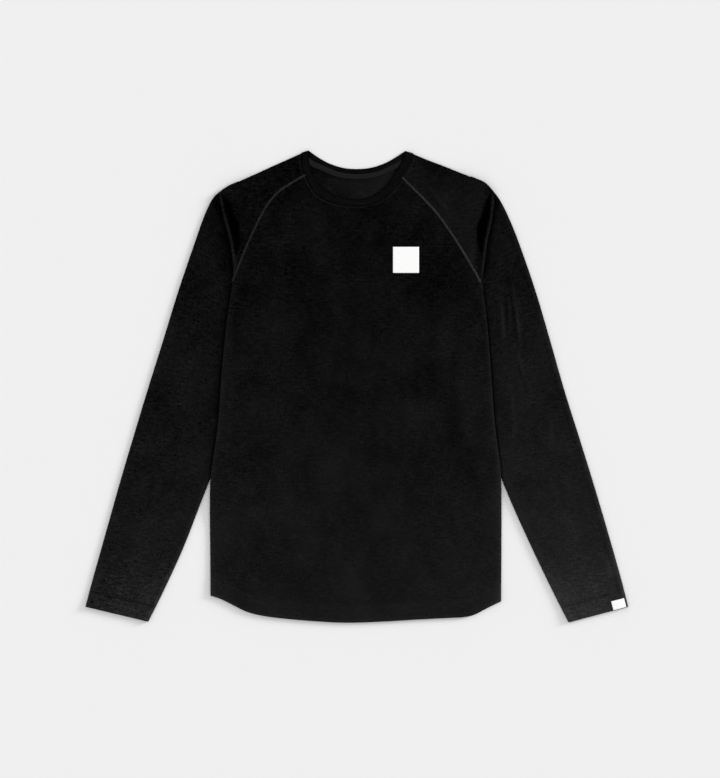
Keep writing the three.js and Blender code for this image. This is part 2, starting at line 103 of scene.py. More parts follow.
# Each sleeve from shoulder tip to cuff: outer fold x and y, then underarm seam x and y.
sleeve_sections = {
    "left": [
        (-198.5, 295.5, -202, 288), (-214.5, 285.2, -192, 257), (-227.7, 260, -168, 215),
        (-241.8, 221, -155, 170), (-267.3, 146, -152, 110), (-290.4, 71, -158, 40),
        (-314, -4, -179, -35), (-336.6, -79, -207, -104), (-357.8, -151, -232.5, -169),
        (-378, -223, -260.5, -241), (-396, -287, -290, -305.5), (-407, -328.5, -312.6, -351),
    ],
    "right": [
        (199.5, 299.5, 199, 290), (212, 284.2, 192, 257), (225, 260, 168, 215),
        (241.2, 221, 155, 170), (267.2, 146, 152, 110), (289.4, 71, 157, 40),
        (310.8, -4, 177, -35), (334.4, -79, 204, -104), (356.7, -151, 229.5, -168.5),
        (377.9, -223, 262.3, -241), (396, -287, 293, -305), (406.5, -328.5, 316.8, -352),
    ],
}


def steps(count, low=0.0, high=1.0):
    return np.linspace(low, high, count + 1)


def smooth(t):
    t = np.clip(t, 0, 1)
    return t * t * (3 - 2 * t)


def bell(distance, width):
    return np.exp(-((distance / width) ** 2))


def line(rows, t, first=0, last=None):
    """Points of a smooth line through table rows, at shares t of the way between two rows."""
    rows = np.array(rows, float)
    end = len(rows) - 1
    place = np.clip(first + ((end if last is None else last) - first) * np.asarray(t, float), 0, end)
    index = np.minimum(place.astype(int), end - 1)
    part = (place - index)[:, None]
    here, after = rows[index], rows[index + 1]
    leave = (after - rows[np.maximum(index - 1, 0)]) / 2
    arrive = (rows[np.minimum(index + 2, end)] - here) / 2
    return (
        here + leave * part + (3 * (after - here) - 2 * leave - arrive) * part**2
        + (2 * (here - after) + leave + arrive) * part**3
    )


def even_line(rows, t):
    """The same line at even shares of its length."""
    fine = np.linspace(0, 1, 401)
    dense = line(rows, fine)
    run = np.r_[0, np.cumsum(np.linalg.norm(np.diff(dense, axis=0), axis=1))]
    return line(rows, np.interp(np.asarray(t) * run[-1], run, fine))


def joined_line(first, second, share, t):
    """Two even lines one after the other, the first taking up the given share."""
    t = np.asarray(t, float)
    early, late = t[t <= share] / share, (t[t > share] - share) / (1 - share)
    return np.vstack([even_line(first, early), even_line(second, late)])


def patch(near, far, left, right, us, vs):
    """A grid between four edges, each an array of points; near and far run along us."""
    u, v = us[None, :, None], vs[:, None, None]
    along = near[None] * (1 - v) + far[None] * v
    across = left[:, None] * (1 - u) + right[:, None] * u
    corners = near[0] * (1 - u) * (1 - v) + near[-1] * u * (1 - v) + far[0] * (1 - u) * v + far[-1] * u * v
    return along + across - corners


def tuck_share(x, y, lead):
    """How fully a layer is lifted by the tucked sleeves at a place, from 0 to 1."""
    share = np.zeros_like(x)
    for side, sign in SIDES:
        rows = np.array(sleeve_sections[side])[::-1]
        edge = np.interp(y, rows[:, 3], np.abs(rows[:, 2]))
        start = edge - TUCK_LEAD - TUCK_RAMP - lead
        share = np.where(x * sign > 0, smooth((np.abs(x) - start) / TUCK_RAMP), share)
    return share * smooth((y + lead - TUCK_END_Y) / TUCK_FADE)


def back_rise(x, y):
    return TUCK_RISE * tuck_share(x, y, 0)


def edge_of(grid, side):
    return {"right": grid[:, -1], "left": grid[:, 0], "far": grid[-1], "near": grid[0]}[side]


def outward(grid, side):
    """Unit steps, in plan, out of one edge of a grid."""
    inner = {"right": grid[:, -2], "left": grid[:, 1], "far": grid[-2], "near": grid[1]}[side]
    step = (edge_of(grid, side) - inner)[:, :2]
    return np.c_[step / np.maximum(np.linalg.norm(step, axis=1), 1e-6)[:, None], np.zeros(len(step))]


def with_edge(grid, side, rows):
    """A grid with more rows or columns added past one edge, nearest first."""
    axis = 1 if side in ("left", "right") else 0
    if side in ("right", "far"):
        return np.concatenate([grid, np.stack(rows, axis)], axis)
    return np.concatenate([np.stack(rows[::-1], axis), grid], axis)


def pull_in(grid, side, amount):
    """Moves one edge inward, in plan."""
    grid = grid.copy()
    edge_of(grid, side)[:] -= outward(grid, side) * amount
    return grid


def rolled(grid, side, radius, sweep=90, up=False, tail=0.0):
    """A grid whose edge rolls down, or up, round a fold, and may run back under it."""
    grid = pull_in(grid, side, radius + CLOTH / 2)
    edge, out = edge_of(grid, side).copy(), outward(grid, side)
    drop = np.array([0, 0, 1.0 if up else -1.0])
    rows = [
        edge + out * radius * math.sin(turn) + drop * radius * (1 - math.cos(turn))
        for turn in np.radians(np.linspace(0, sweep, max(2, round(sweep / 30)) + 1))[1:]
    ]
    if tail:
        rows += [rows[-1] - out * tail * share for share in (0.5, 1.0)]
    return with_edge(grid, side, rows)


RIM_TURNS = np.radians([35, 65, 90])


def cloth_mesh(name, grid, uv, thickness=CLOTH, ring=False):
    """A wall of cloth round a grid in millimetres, with rounded free edges, made in metres."""
    half = np.full(grid.shape[:2], thickness / 2)
    for side in ("near", "far") if ring else ("near", "far", "left", "right"):
        edge, out = edge_of(grid, side).copy(), outward(grid, side)
        base = edge_of(half, side).copy()
        uv_edge = edge_of(uv, side).copy()
        grid = with_edge(grid, side, [edge + out * thickness / 2 * math.sin(t) for t in RIM_TURNS])
        half = with_edge(half, side, [base * math.cos(t) for t in RIM_TURNS])
        uv = with_edge(uv, side, [uv_edge] * len(RIM_TURNS))
    rows, columns = half.shape
    if ring:
        across = np.roll(grid, -1, axis=1) - np.roll(grid, 1, axis=1)
    else:
        across = np.gradient(grid, axis=1)
    normal = np.cross(across, np.gradient(grid, axis=0))
    normal /= np.maximum(np.linalg.norm(normal, axis=2), 1e-9)[..., None]
    outer = (grid + normal * half[..., None]).reshape(-1, 3)
    inner = (grid - normal * half[..., None]).reshape(-1, 3)
    index = np.arange(rows * columns).reshape(rows, columns)
    if ring:
        index = np.c_[index, index[:, 0]]
    a, b, c, d = index[:-1, :-1], index[:-1, 1:], index[1:, 1:], index[1:, :-1]
    quads = np.stack([a, b, c, d], axis=-1).reshape(-1, 4)
    faces = np.vstack([quads, quads[:, ::-1] + len(outer)])
    points = np.vstack([outer, inner])
    points[:, :2] += shift
    mesh = bpy.data.meshes.new(name)
    mesh.from_pydata((points * MM).tolist(), [], faces.tolist())
    flat_uv = np.vstack([uv.reshape(-1, 2)] * 2) * MM
    layer = mesh.uv_layers.new(name="cloth")
    corners = np.empty(len(mesh.loops), int)
    mesh.loops.foreach_get("vertex_index", corners)
    layer.data.foreach_set("uv", flat_uv[corners].ravel())
    return mesh


def cloth_map(across, along):
    return np.stack(np.broadcast_arrays(across, along), axis=-1)


def distance_to(rows, x, y):
    """Distance from places to a line through table rows, and the share along it that is nearest."""
    t = steps(160)
    points = line(rows, t)
    away = np.full(x.shape, np.inf)
    share = np.zeros(x.shape)
    for place, (px, py) in zip(t, points):
        found = np.hypot(x - px, y - py)
        share = np.where(found < away, place, share)
        away = np.minimum(found, away)
    return away, share


def finish_piece(name, meshes, material, node, depth=None):
    """One object from closed walls, smooth, with its normals out, riding on the top.

    depth gives, for places and heights, painted shade and light in the cloth's colour: up to 1 it is
    painted shade, darkest deep in folds, and below 0, to -3, paler, mostly painted highlight along folded
    edges.
    """
    work = bmesh.new()
    for mesh in meshes:
        work.from_mesh(mesh)
        bpy.data.meshes.remove(mesh)
    bmesh.ops.remove_doubles(work, verts=work.verts, dist=2e-6)
    bmesh.ops.recalc_face_normals(work, faces=work.faces)
    mesh = bpy.data.meshes.new(name)
    work.to_mesh(mesh)
    work.free()
    piece = bpy.data.objects.new(name, mesh)
    bpy.context.collection.objects.link(piece)
    mesh.shade_smooth()
    if depth:
        points = np.empty(3 * len(mesh.vertices))
        mesh.vertices.foreach_get("co", points)
        x, y, z = points.reshape(-1, 3).T / MM
        folded = np.clip(depth(x - shift[0], y - shift[1], z), -3, 1)
        mesh.attributes.new("fold depth", "FLOAT", "POINT").data.foreach_set("value", folded)
    mesh.materials.append(material)
    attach(piece, "root")
    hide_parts(node)
    return piece


class Shade:
    """A shader socket with arithmetic: an expression on it adds Math nodes."""

    def __init__(self, tree, socket=None):
        self.tree = tree
        self.socket = socket

    def node(self, kind, settings=None, inputs=None, out=0):
        """Adds a node: its settings first, then the values or links of its sockets."""
        made = self.tree.nodes.new(kind)
        for key, value in (settings or {}).items():
            if key == "stops":
                ramp = made.color_ramp
                for place, tone in value[1:-1]:
                    ramp.elements.new(place).color = tone
                ramp.elements[0].position, ramp.elements[0].color = value[0]
                ramp.elements[-1].position, ramp.elements[-1].color = value[-1]
            else:
                setattr(made, key, value)
        for key, value in (inputs or {}).items():
            if isinstance(value, Shade):
                self.tree.links.new(value.socket, made.inputs[key])
            else:
                made.inputs[key].default_value = value
        return Shade(self.tree, made.outputs[out] if made.outputs else None)

    def split(self):
        """The first two parts of a vector."""
        first = self.node("ShaderNodeSeparateXYZ", inputs={0: self})
        return first, Shade(self.tree, first.socket.node.outputs[1])

    def math(self, operation, first, second):
        return self.node("ShaderNodeMath", {"operation": operation}, {0: first, 1: second})

    def __add__(self, other):
        return self.math("ADD", self, other)

    __radd__ = __add__

    def __sub__(self, other):
        return self.math("SUBTRACT", self, other)

    def __rsub__(self, other):
        return self.math("SUBTRACT", other, self)

    def __mul__(self, other):
        return self.math("MULTIPLY", self, other)

    def between(self, low, high):
        """A smooth rise from 0 to 1 between two values."""
        return self.node(
            "ShaderNodeMapRange", {"interpolation_type": "SMOOTHSTEP"},
            {"Value": self, "From Min": low, "From Max": high},
        )


def grey(shade):
    """The same number as a grey colour."""
    return shade.node("ShaderNodeCombineColor", inputs={0: shade, 1: shade, 2: shade})


def dyed(tone, colour):
    """A colour made lighter or darker by a tone."""
    return tone.node("ShaderNodeMix", {"data_type": "RGBA", "blend_type": "MULTIPLY"}, {
        0: 1.0, 6: (*colour, 1), 7: grey(tone),
    }, out=2)


def new_material(name):
    material = bpy.data.materials.new(name)
    material.use_nodes = True
    material.node_tree.nodes.clear()
    return material, Shade(material.node_tree)


def surface(shade, inputs):
    """The material's shader, with its sockets' values or links."""
    made = shade.node("ShaderNodeBsdfPrincipled", inputs=inputs)
    shade.node("ShaderNodeOutputMaterial", inputs={"Surface": made})


def knit_material(name, tone=1.0, wale=0.0011, flecked=1.0):
    """Black jersey knit with the melange's soft flecks; painted light makes it a little paler toward hem
    and cuffs and toward the viewer's right.
    """
    material, shade = new_material(name)
    uv = shade.node("ShaderNodeUVMap", {"uv_map": "cloth"})
    place = shade.node("ShaderNodeTexCoord", out=3)
    x, y = place.split()
    out_x = x.math("ABSOLUTE", x, 0.0)
    sleeve = out_x.between(0.17, 0.23)
    wear_and_cuff_light = y.between(-0.21, -0.35) * out_x.between(0.19, 0.26)
    depth = shade.node("ShaderNodeAttribute", {"attribute_name": "fold depth"}, out=2)
    # Painted light: paler toward the bottom and toward the viewer's right, where the light comes from, most
    # on the sleeves; the sleeves are painted paler, and paler still toward the cuffs.
    body = (0.0050 - y * 0.0082) * (1 + x * (0.2 + sleeve * 0.45))
    body = body * (1 + sleeve * 0.27) * (1 + wear_and_cuff_light * 0.98)

    def streaks(across, along, detail, seed):
        stretched = uv.node("ShaderNodeMapping", inputs={
            0: uv, "Location": (seed, seed * 0.7, 0), "Scale": (across, along, 1),
        })
        return uv.node("ShaderNodeTexNoise", {"noise_dimensions": "2D"}, {
            "Vector": stretched, "Scale": 1.0, "Detail": detail, "Roughness": 0.62,
        })

    rows = streaks(92, 300, 1.0, 3.1)
    columns = streaks(290, 105, 1.0, 6.4)
    fleck = streaks(340, 325, 1.0, 8.7)
    cloud = streaks(14, 11, 2.0, 5.3)
    uneven = streaks(42, 38, 2.0, 1.9)
    melange = ((rows - 0.5) * 4.6 + (columns - 0.5) * 2.2 + (fleck - 0.5) * 4.8) * (uneven * 1.8 + 0.1)
    calm = (1 - depth.math("MAXIMUM", depth, 0.0)) * (1 + depth.math("MINIMUM", depth, 0.0) * 0.12)
    melange = melange * (0.0009 + out_x * 0.0027 + wear_and_cuff_light * 0.0030)
    patches = ((cloud - 0.5) + (uneven - 0.5) * 0.5) * (0.0067 + wear_and_cuff_light * 0.004)
    # The point attribute paints shade into the colour above 0, and paints it paler below 0, mostly as
    # painted highlight.
    body = body * (1 - depth * 0.95) + (melange + patches) * calm * flecked
    body = body.math("MAXIMUM", body, 0.0002)
    across, along = uv.split()
    ribs = across.math("SINE", across * (2 * math.pi / wale), 0.0)
    loops = along.math("SINE", along * (2 * math.pi / (wale * 0.8)), 0.0)
    knit = ribs * 0.5 + loops * 0.25 + (fleck - 0.5) * 1.6 + (rows - 0.5) * 0.8
    bump = knit.node("ShaderNodeBump", inputs={"Strength": 0.5, "Distance": 0.00018, "Height": knit})
    surface(shade, {
        "Base Color": grey(body * tone),
        "Roughness": 0.9,
        "Specular IOR Level": 0.008,
        "Sheen Weight": 0.004,
        "Sheen Roughness": 0.35,
        "Normal": bump,
    })
    return material


RAGLAN_SHARE = 0.3
# Along a panel or a tube, hem and cuff are placed by their share of its length.
PANEL_LENGTH = 640
TUBE_LENGTH = 670
MOUTH = 60
HEM_LIFT = 0.8
HEM_MOUTH = MOUTH / PANEL_LENGTH
HEM_DEPTH = 24 / PANEL_LENGTH
HEM_EXTRA = 0.4
GROOVE_DEPTH = 0.3
GROOVE_WIDTH = 0.0035
# Threads' heights from the middle of an upper and of a lower layer.
TOP_THREAD = CLOTH / 2 - 0.05
LOW_THREAD = 0.36 - CLOTH / 2
panel_us = steps(92)
panel_vs = np.r_[steps(118, 0, 0.945), steps(34, 0.947, 1)]


def panel_plan(neck_rows, joins, raglan):
    """The plan of the front or the back, from neck to hem."""
    return patch(
        line(neck_rows, panel_us, joins["left"], joins["right"]),
        even_line(hem, panel_us),
        joined_line(raglan["left"], side_seam["left"], RAGLAN_SHARE, panel_vs),
        joined_line(raglan["right"], side_seam["right"], RAGLAN_SHARE, panel_vs),
        panel_us, panel_vs,
    )


# At a seam the two rounded edges of cloth just meet. At a side seam both layers share one fold.
SEAM_PULL = CLOTH / 2 - 0.06
SIDE_FOLD_RADIUS = (LAYER_STEP - 0.35) / 2


def with_height(plan, height):
    return np.concatenate([plan, height[..., None]], axis=2)


def turned_edge(from_edge):
    """Height that a turned edge adds, and the shallow groove that its stitches pull into it."""
    groove = bell(from_edge - HEM_DEPTH, GROOVE_WIDTH)
    return HEM_EXTRA * smooth((HEM_DEPTH + 0.003 - from_edge) / 0.004) - GROOVE_DEPTH * groove


def side_folds(grid, up):
    """Rolls the side seams of a panel half way round the fold that front and back share."""
    seam = panel_vs > RAGLAN_SHARE
    for side in ("left", "right"):
        grid = pull_in(grid, side, SEAM_PULL)
        edge, out = edge_of(grid, side).copy(), outward(grid, side)
        radius = np.where(seam, SIDE_FOLD_RADIUS, 0.0)[:, None]
        rise = np.array([0, 0, 1 if up else -1]) * radius
        edge_of(grid, side)[:] -= out * radius
        grid = with_edge(grid, side, [
            edge - out * radius * (1 - math.sin(t)) + rise * (1 - math.cos(t)) + out * 0.01 * (k + 1)
            for k, t in enumerate(RIM_TURNS)
        ])
    return grid


knit = knit_material("black jersey")
back_plan = panel_plan(back_neck_seam, BACK_ROWS, back_raglan)
x, y = back_plan[..., 0], back_plan[..., 1]
# Creases: start x and y, end x and y, half width, height (below zero for a trough), bend.
back_creases = [
    (-60, 210, 50, 216, 14, 0.9, -8), (-20, 120, 96, 40, 16, 0.8, 9),
    (-110, 60, -60, -70, 13, 0.7, -6), (40, -90, 118, -190, 15, 0.8, 7),
    (-130, -150, -30, -210, 17, 0.9, -9), (-8, 20, 12, -120, 12, 0.5, 5),
    (-70, -270, 60, -262, 14, 0.7, 6), (150, 100, 108, 160, 10, 0.6, 4),
    (-148, 108, -112, 158, 11, 0.6, -4),
]


def creases(x, y, rows):
    """Height that listed creases add, each tapering to nothing at its ends."""
    lift = np.zeros_like(x)
    for x0, y0, x1, y1, half_width, height, bend in rows:
        run = np.array([x1 - x0, y1 - y0])
        length = np.linalg.norm(run)
        along = ((x - x0) * run[0] + (y - y0) * run[1]) / length**2
        part = np.clip(along, 0, 1)
        off = ((x - x0) * run[1] - (y - y0) * run[0]) / length - bend * 4 * part * (1 - part)
        past = (along - part) * length
        near = np.exp(-(off**2 + past**2) / half_width**2)
        lift = lift + height * near * np.sin(math.pi * np.clip(0.12 + 0.76 * part, 0, 1))
    return lift


CREASE_CUT = 0.15
back_lift = np.maximum(creases(x, y, back_creases) - CREASE_CUT, 0)
back_grid = with_height(back_plan, back_rise(x, y) + CLOTH / 2 + back_lift)
back_edge = back_grid.copy()
back_grid = side_folds(back_grid, up=True)


# The wrong side's paleness in the neck opening, its painted-light slope toward the viewer's right, and its
# limits.
OPENING_TONE = 1.6
OPENING_TONE_SLOPE = 0.022
OPENING_TONES = (0.5, 2.8)


def back_depth(x, y, z):
    """Wrong side of the knit in the neck opening: paler, and paler still toward the light, as painted
    light.
    """
    opening = smooth((z - 0.4) / 0.3) * smooth((y - 262) / 12) * smooth((92 - np.abs(x)) / 14)
    return -opening * np.clip(OPENING_TONE + OPENING_TONE_SLOPE * x, *OPENING_TONES)


back = finish_piece(
    "back_cloth", [cloth_mesh("back", back_grid, back_grid[..., :2])], knit, "back_panel",
    depth=back_depth,
)

# Front panel.
# The real piece is cut like the back with a lower neck, in the same knit. It lies on the back and
# over both sleeves, and keeps a few soft hollows and ridges where the cloth below it is folded.

FRONT_LEAD = 19
FRONT_LIFT = 0.6
FRONT_JOIN = {"left": (-77.6, 319.5), "right": (69, 315.5)}
front_neck_seam = [
    NECK_POINT["left"], (-82.3, 334), FRONT_JOIN["left"], (-63, 293), (-36, 277), (0, 272.6),
    (30, 278.5), (52, 294.5), FRONT_JOIN["right"], (79.5, 334), NECK_POINT["right"],
]
FRONT_ROWS = {"left": 2, "right": 8}
front_raglan = {
    "left": [
        FRONT_JOIN["left"], (-98.4, 306.6), (-119, 292), (-137, 269), (-154, 236),
        (-171, 197.5), UNDERARM["left"],
    ],
    "right": [
        FRONT_JOIN["right"], (98.9, 284.5), (124.5, 254.5), (148, 219), (169.5, 186.5),
        (180.5, 169.5), UNDERARM["right"],
    ],
}

# Creases: start x and y, end x and y, half width, height (below zero for a trough), bend.
front_creases = [
    (143, 66, 147, -132, 9, -0.9, 5),
    (158, 40, 163, -90, 8, 0.7, 4),
    (-150, 150, -118, 172, 13, -1.0, 3),
    (142, 148, 112, 168, 13, -0.9, -3),
    (-168, -10, -176, -150, 10, 0.5, -4),
    (-60, 246, 44, 250, 10, -0.4, -10),
    (-96, 262, -128, 214, 8, 0.5, 3),
    (30, 60, 46, -40, 14, 0.35, 5),
    (-70, -120, -40, -215, 16, 0.35, -6),
    (110, -205, 128, -285, 12, -0.35, 4),
]


# Air below the front, and the least of it over a crease of the back.
FRONT_SLACK = 0.1
LEAST_SLACK = 0.45


def front_rise(x, y):
    return (TUCK_RISE + FRONT_LIFT) * tuck_share(x, y, FRONT_LEAD)


front_plan = panel_plan(front_neck_seam, FRONT_ROWS, front_raglan)
x, y = front_plan[..., 0], front_plan[..., 1]
hem_open = HEM_LIFT * smooth(1 - (1 - panel_vs) / HEM_MOUTH)[:, None]
front_height = front_rise(x, y) + LAYER_STEP + CLOTH / 2 + hem_open + FRONT_SLACK
front_height = front_height + creases(x, y, front_creases)
back_top = back_rise(x, y) + creases(x, y, back_creases) + LAYER_STEP
front_height = np.maximum(front_height, back_top + LEAST_SLACK)
front_edge = with_height(front_plan, front_height + turned_edge(1 - panel_vs)[:, None])
front_grid = side_folds(front_edge, up=False)


# Soft painted shade over hollows, paler below zero: start x and y, end x and y, half width, strength, bend.
front_hollows = [
    (-163, 165, -150, 130, 16, 0.4, 4), (160, 168, 150, 118, 16, 0.4, -4), (-172, 150, -186, 40, 6, 0.3, 2),
    (144, 66, 148, -130, 8, 0.25, 5), (-56, 262, 8, 258, 13, -0.35, -4), (-120, 60, -60, 150, 36, 0.15, 8),
]
# Painted highlight along folded edges, its width, and its share along the hem.
EDGE_HIGHLIGHT = 0.7
EDGE_HIGHLIGHT_WIDTH = 4.0
HEM_HIGHLIGHT_SHARE = 0.7
HEM_TONE = 0.16
HEM_TURN = 26
BAND_SHADE = 0.2
BAND_SHADE_WIDTH = 1.6


def edge_highlight(rows, x, y):
    """Painted highlight: how much paler the cloth is painted along a folded edge."""
    return EDGE_HIGHLIGHT * bell(distance_to(rows, x, y)[0], EDGE_HIGHLIGHT_WIDTH)


def front_depth(x, y, z):
    """Painted shade in hollows and beside the band, painted highlight on folded edges, turned hem paler."""
    lit_edges = edge_highlight(side_seam["left"], x, y) + edge_highlight(side_seam["right"], x, y)
    lit_edges = lit_edges + HEM_HIGHLIGHT_SHARE * edge_highlight(hem, x, y)
    beside_band = bell(distance_to(front_neck_seam, x, y)[0], BAND_SHADE_WIDTH)
    turned = HEM_TONE * smooth((HEM_TURN - distance_to(hem, x, y)[0]) / 3)
    return creases(x, y, front_hollows) + BAND_SHADE * beside_band - lit_edges - turned


front = finish_piece(
    "front_cloth", [cloth_mesh("front", front_grid, front_grid[..., :2])], knit, "front_panel",
    depth=front_depth,
)

# Sleeves.
# Each real sleeve is one piece of the same knit from the neck over the shoulder to the cuff, closed
# by an underarm seam. It is swung down, so the cloth is folded in a pleat from shoulder to underarm.

SHOULDER_TIP = {"left": (-208.3, 290.8), "right": (206.2, 291.2)}
shoulder_fold = {
    "left": [
        NECK_POINT["left"], (-108, 339.8), (-132, 329.3), (-156, 318.5), (-180, 307.7),
        (-194, 301.2), SHOULDER_TIP["left"],
    ],
    "right": [
        NECK_POINT["right"], (106.5, 340.8), (130.5, 332), (154.5, 322.4), (178.5, 312.9),
        (193, 305.8), SHOULDER_TIP["right"],
    ],
}
pleat_ridge = {
    "left": [UNDERARM["left"], (-185.5, 183), (-190.8, 219), (-200, 254), SHOULDER_TIP["left"]],
    "right": [UNDERARM["right"], (190.8, 187), (195, 219), (202.3, 254), SHOULDER_TIP["right"]],
}
# How wide the deep fold's painted shade beside the ridge is, by share of the way down it from the shoulder.
FOLD_SHARES = (0, 0.1, 0.235, 0.35, 0.47, 0.6, 0.72)
FOLD_WIDTHS = (4, 11, 16, 20, 16, 10, 0)
# Painted highlight along the pleat's crest, and painted light on the right cap with a touch of painted
# shade on the left.
CREST_HIGHLIGHT = {"left": 1.1, "right": 1.6}
CAP_TONE = {"left": 0.05, "right": -0.9}
# Crease ridges on the sleeves get painted highlight, and their troughs painted shade.
CREASE_TONE = 0.3
CUFF_LINE_TONE = 0.4
CUFF_TURN = 24
RIDGE_HEIGHT = 3.9
RIDGE_CREST = 1.6
RIDGE_WIDTH = 2.6
TROUGH_DEPTH = 3.4
TROUGH_PLACE = 10
TROUGH_WIDTH = 7
RIDGE_FOLD = 1.1
SHOULDER_ROLL = 0.6
TUBE_TOP = 2.2
CUFF_LIFT = 0.8
CUFF_MOUTH = MOUTH / TUBE_LENGTH
FOLD_BEAD = 0.9
FOLD_BEAD_PLACE = 4.5
FOLD_BEAD_WIDTH = 3.5
# Shade under the ridge, and where the sleeve goes under the body: strength and width.
GAP_SHADE = (1.2, 4.5)
UNDER_SHADE = (0.95, 3.2)
CREST_PLACE = 1.7
CREST_WIDTH = 2.0
CUFF_LINE_WIDTH = 1.5
PLEAT_TAIL = 7

cap_creases = {
    "left": [
        (-188, 300, -155, 293, 3.0, -0.9, 1.5), (-181, 294, -160, 288, 3.0, 0.6, 1),
        (-176, 291, -166, 283, 3.0, -0.7, 1), (-110, 318, -92, 330, 8, 0.5, 1),
    ],
    "right": [
        (96, 307, 137, 256, 4.5, 1.1, -4), (88, 296, 124, 262, 5, -0.5, -3),
        (120, 322, 160, 296, 8, -0.5, 3), (176, 300, 152, 280, 4, -0.4, 2),
    ],
}
tube_creases = {
    "left": [
        (-208, 231, -196, 220, 2.5, -0.9, 1), (-250, 120, -268, 20, 12, 0.5, 4),
        (-232, 60, -246, -40, 10, -0.4, -4), (-300, -180, -330, -270, 14, 0.5, 5),
        (-268, -130, -300, -165, 8, -0.4, 3),
    ],
    "right": [
        (216, 121, 219, 70, 3.5, 0.9, 1), (242, 132, 245, -3, 4, 1.0, 3), (231, -3, 232, -86, 4, 0.9, -2),
        (248, 66, 251, -9, 4, -0.7, 2), (286, -42, 290, -97, 5, 0.8, -2),
        (235, -148, 261, -135, 4, -1.0, 2), (375, -255, 380, -285, 6, 1.2, 2),
        (388, -280, 391, -305, 5, -0.9, -2), (300, -170, 322, -240, 12, 0.5, -5),
    ],
}

# Soft streaks of painted shade above zero and painted highlight below zero, for faint folds:
# start x and y, end x and y, half width, strength, bend.
sleeve_fold_shading = {
    "left": [
        (-193.5, 295, -154.5, 292, 2.2, 0.55, 1), (-181.5, 300.4, -160.5, 298.2, 2.2, 0.35, 0.5),
        (-178.5, 287, -148.5, 279.4, 2.4, 0.35, 1), (-208, 231, -196, 220, 2.5, 0.4, 1),
        (-204, 288, -140, 303, 13, -0.4, 0), (-240, 225, -216, 120, 22, -0.22, 0),
    ],
    "right": [
        (215.2, 141.4, 221.2, 73.9, 2.2, -0.8, 0), (222.7, 136, 226, 93, 2.2, 0.6, 0),
        (227.2, 134, 231, 83, 2.0, -0.4, 0), (228, 161, 243, 48, 2.3, 0.55, 0),
        (233.2, 156.4, 246, 63, 2.6, -0.7, 0), (247, 38, 252, 10, 2.6, -0.5, 0),
        (241, 42, 246, 8, 2.4, 0.5, 0),
    ],
}


def pleat(side, x, y):
    """Height of the ridge, and depth of the trough beside it."""
    away, share = distance_to(pleat_ridge[side], x, y)
    down = 1 - share
    strength = smooth(down / 0.18) * smooth((1 - down) / 0.3)
    crest = RIDGE_HEIGHT * bell(away - RIDGE_CREST, RIDGE_WIDTH) * strength
    place = TROUGH_PLACE * (0.7 + 0.3 * smooth(down / 0.5))
    fade = smooth(down / 0.15) * smooth((0.9 - down) / 0.35)
    return crest, TROUGH_DEPTH * bell(away - place, TROUGH_WIDTH) * fade


def sleeve_depth(side):
    """Painted shade in the deep fold by the ridge and gaps under ridge and body; painted highlight on
    edges.
    """
    inward = 1 if side == "left" else -1
    rows = np.array(sleeve_sections[side])
    edge = line(pleat_ridge[side], steps(160))
    seam = line(side_seam[side], steps(160))[::-1]
    cuff = rows[-1, :2]
    across = (rows[-1, 2:] - cuff) / np.linalg.norm(rows[-1, 2:] - cuff)

    def depth(x, y, z):
        away, share = distance_to(pleat_ridge[side], x, y)
        down = 1 - share
        within = (x - np.interp(y, edge[:, 1], edge[:, 0])) * inward
        strength = smooth(down / 0.12) * smooth((1 - down) / 0.2)
        width = np.interp(down, FOLD_SHARES, FOLD_WIDTHS)
        # Painted shade in the trough beside the ridge, painted highlight on its crest, painted light on the
        # cap.
        trough = smooth((within - 3.6) / 2.2) * smooth((width + 3 - away) / 5) * (width > 0)
        gap = GAP_SHADE[0] * bell(away, GAP_SHADE[1])
        crest = CREST_HIGHLIGHT[side] * bell(within - CREST_PLACE, CREST_WIDTH) * strength
        cap = CAP_TONE[side] * (1 - trough) * smooth((away - 8) / 12)
        deep = np.where(within > -0.4, trough - crest + cap, gap * strength)
        outside = (x - np.interp(y, seam[:, 1], seam[:, 0])) * -inward
        under = UNDER_SHADE[0] * bell(np.maximum(outside, 0), UNDER_SHADE[1]) * smooth((160 - y) / 10)
        folds = edge_highlight(rows[:, :2], x, y) + edge_highlight(rows[7:, 2:], x, y)
        lifted = creases(x, y, cap_creases[side]) + creases(x, y, tube_creases[side])
        from_cuff = np.abs((x - cuff[0]) * across[1] - (y - cuff[1]) * across[0])
        sewn = CUFF_LINE_TONE * bell(from_cuff - CUFF_TURN, CUFF_LINE_WIDTH)
        streaked = creases(x, y, sleeve_fold_shading[side]) * (z > CLOTH)
        # Painted highlight along folded edges and crease ridges, painted shade in crease troughs.
        raised = folds * (y < 270) + CREASE_TONE * lifted
        return np.where(y < 157, np.maximum(under, 0), deep) + sewn + streaked - raised * (z > CLOTH)
    return depth


cap_us = steps(60)
cap_vs = 1 - (1 - steps(80)) ** 1.25


def cap_grid(side, neck_rows, join, raglan, height, creased):
    """Front or back of the shoulder part, between raglan seam, neck, shoulder fold and ridge."""
    neck_end = 0 if side == "left" else len(neck_rows) - 1
    plan = patch(
        line(neck_rows, cap_us, join, neck_end), line(pleat_ridge[side], cap_us),
        even_line(raglan, cap_vs), even_line(shoulder_fold[side], cap_vs), cap_us, cap_vs,
    )
    x, y = plan[..., 0], plan[..., 1]
    return with_height(plan, height(x, y) + creases(x, y, creased))


def front_cap_height(side):
    def height(x, y):
        crest, trough = pleat(side, x, y)
        from_seam = smooth(distance_to(front_raglan[side], x, y)[0] / 6)
        least = LAYER_STEP + CLOTH / 2 + FRONT_SLACK
        layers = front_rise(x, y) + least
        return np.maximum(layers - trough * from_seam, least) + crest * from_seam
    return height


def back_cap_height(side):
    def height(x, y):
        trough = pleat(side, x, y)[1]
        return np.maximum(back_rise(x, y) - trough, 0) + CLOTH / 2
    return height


